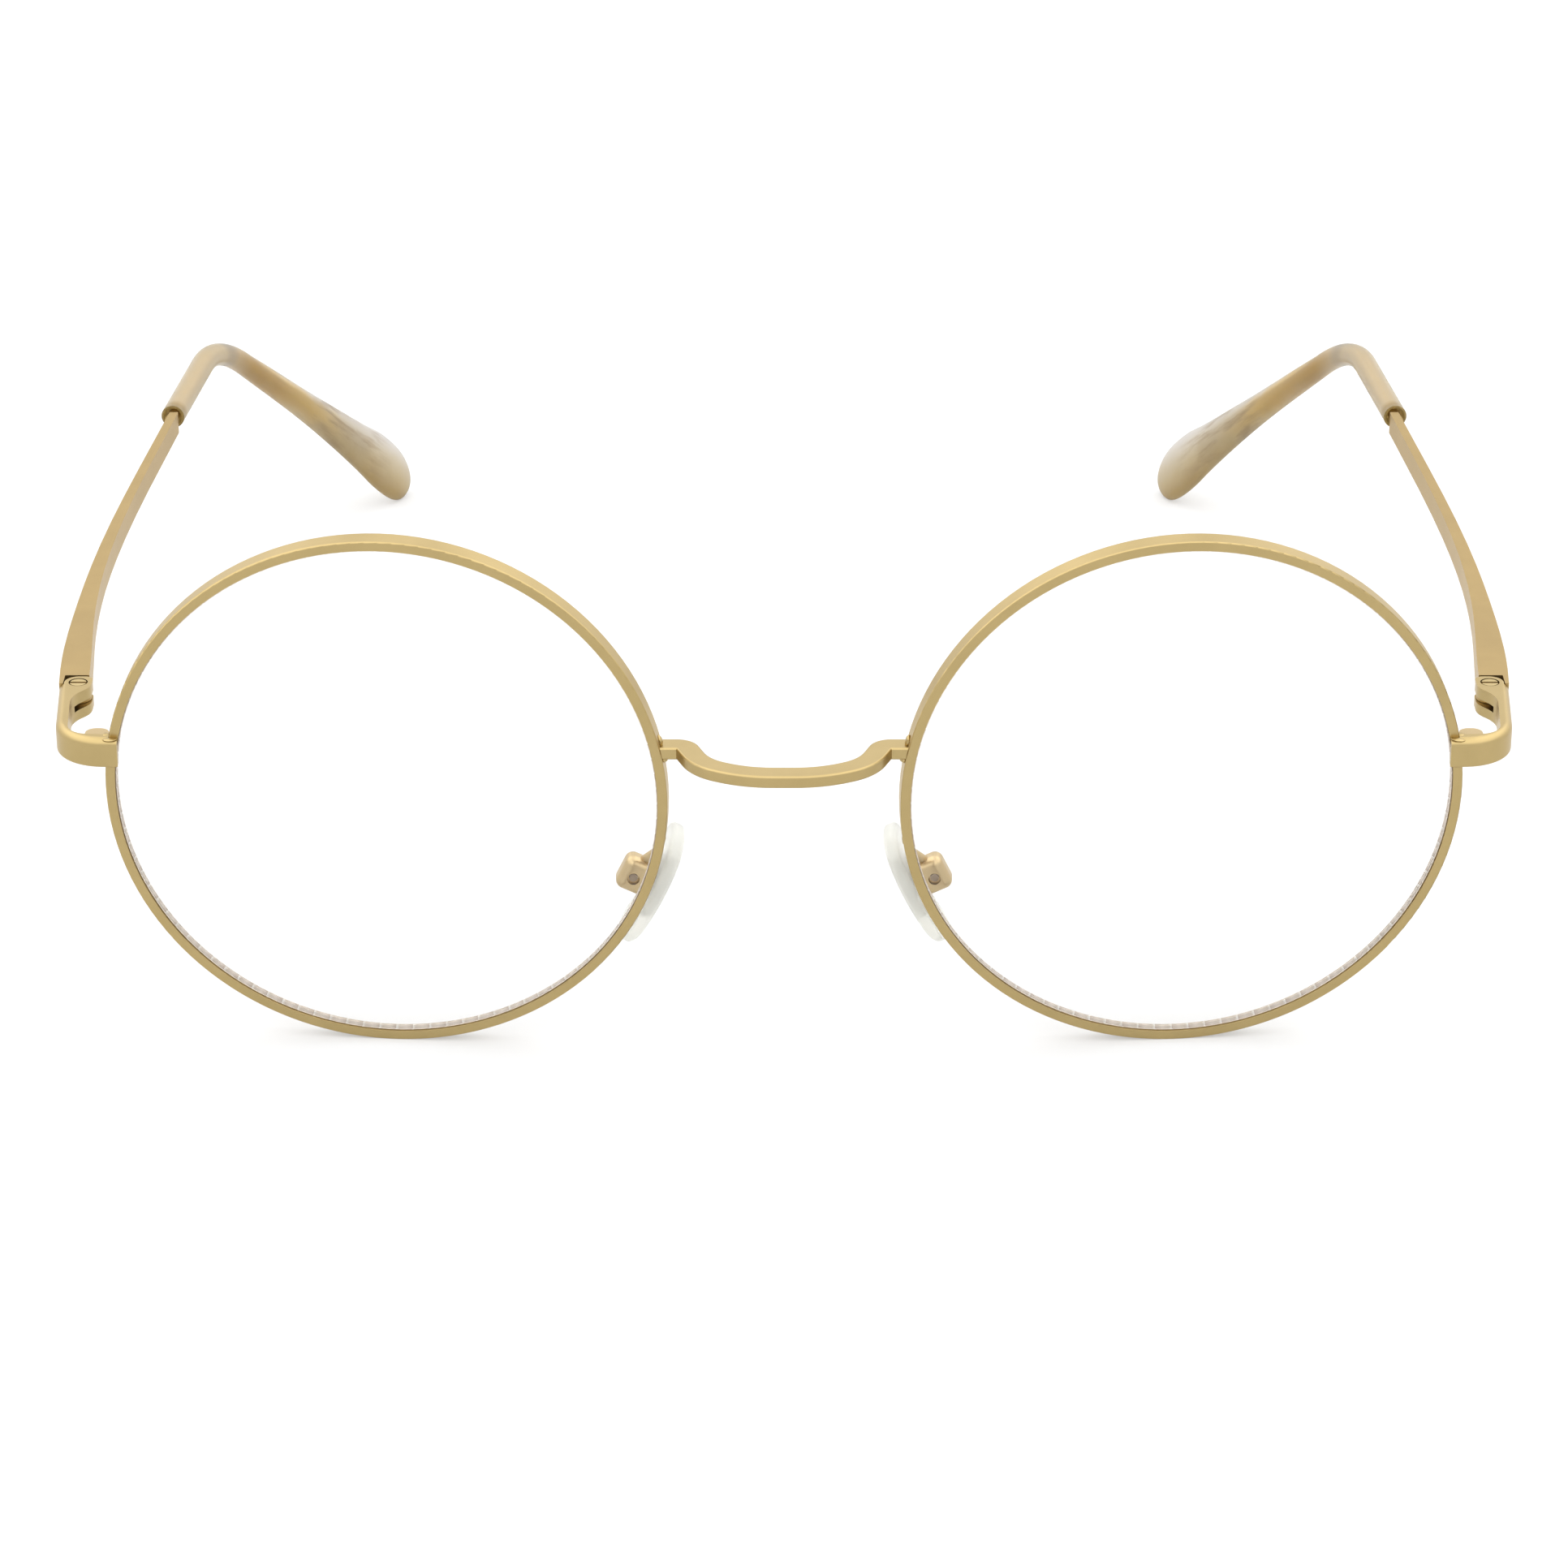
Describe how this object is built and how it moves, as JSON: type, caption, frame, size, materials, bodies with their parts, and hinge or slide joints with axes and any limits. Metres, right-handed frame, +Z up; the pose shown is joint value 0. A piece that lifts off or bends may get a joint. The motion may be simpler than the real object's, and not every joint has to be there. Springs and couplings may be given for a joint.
{
  "type": "eyeglasses",
  "caption": "Round metal-rimmed eyeglasses with folding temples, rocking clear nose pads and clear temple tips.",
  "frame": {"origin": "middle of the bounding box's base: on the mirror plane, half way between the bridge's front and the backs of the temple tips, on the surface it stands on", "axes": "+X to the wearer's left, +Y back towards the wearer's ears, +Z up"},
  "size_m": [0.1378, 0.1493, 0.0522],
  "materials": {
    "satin_gold": "satin champagne gold plating on a copper-nickel frame",
    "steel": "plain steel screws",
    "demo_lens": "clear acrylic, polished faces, ground edge",
    "clear_tip": "clear acetate, slightly milky",
    "clear_pad": "soft translucent silicone",
    "insert_plastic": "clear hard plastic"
  },
  "bodies": {
    "front": {"bridge": "satin_gold", "right_rim": "satin_gold", "left_rim": "satin_gold", "right_lens": "demo_lens", "left_lens": "demo_lens", "right_end_piece": "satin_gold", "left_end_piece": "satin_gold", "right_hinge_screw": "satin_gold", "left_hinge_screw": "satin_gold", "right_rim_lock_upper": "satin_gold", "left_rim_lock_upper": "satin_gold", "right_rim_lock_lower": "satin_gold", "left_rim_lock_lower": "satin_gold", "right_rim_lock_screw": "steel", "left_rim_lock_screw": "steel", "right_pad_arm": "satin_gold", "left_pad_arm": "satin_gold", "right_pad_box": "satin_gold", "left_pad_box": "satin_gold", "right_pad_screw": "steel", "left_pad_screw": "steel"},
    "right_temple": {"right_temple": "satin_gold", "right_temple_tip": "clear_tip"},
    "left_temple": {"left_temple": "satin_gold", "left_temple_tip": "clear_tip"},
    "right_pad": {"right_nose_pad": "clear_pad", "right_pad_insert": "insert_plastic"},
    "left_pad": {"left_nose_pad": "clear_pad", "left_pad_insert": "insert_plastic"}
  },
  "joints": [
    {"name": "right_temple_fold", "type": "hinge", "parent": "front", "child": "right_temple", "pos_m": [-0.06645, -0.05265, 0.03003], "axis": [0, 0, -1], "range_deg": [0, 83]},
    {"name": "left_temple_fold", "type": "hinge", "parent": "front", "child": "left_temple", "pos_m": [0.06645, -0.05265, 0.03003], "axis": [0, 0, 1], "range_deg": [0, 73]},
    {"name": "right_pad_rock", "type": "hinge", "parent": "front", "child": "right_pad", "pos_m": [-0.01425, -0.05925, 0.01487], "axis": [-0.061, 0.9981, 0], "range_deg": [-8, 8]},
    {"name": "left_pad_rock", "type": "hinge", "parent": "front", "child": "left_pad", "pos_m": [0.01425, -0.05925, 0.01487], "axis": [0.061, 0.9981, 0], "range_deg": [-8, 8]}
  ]
}
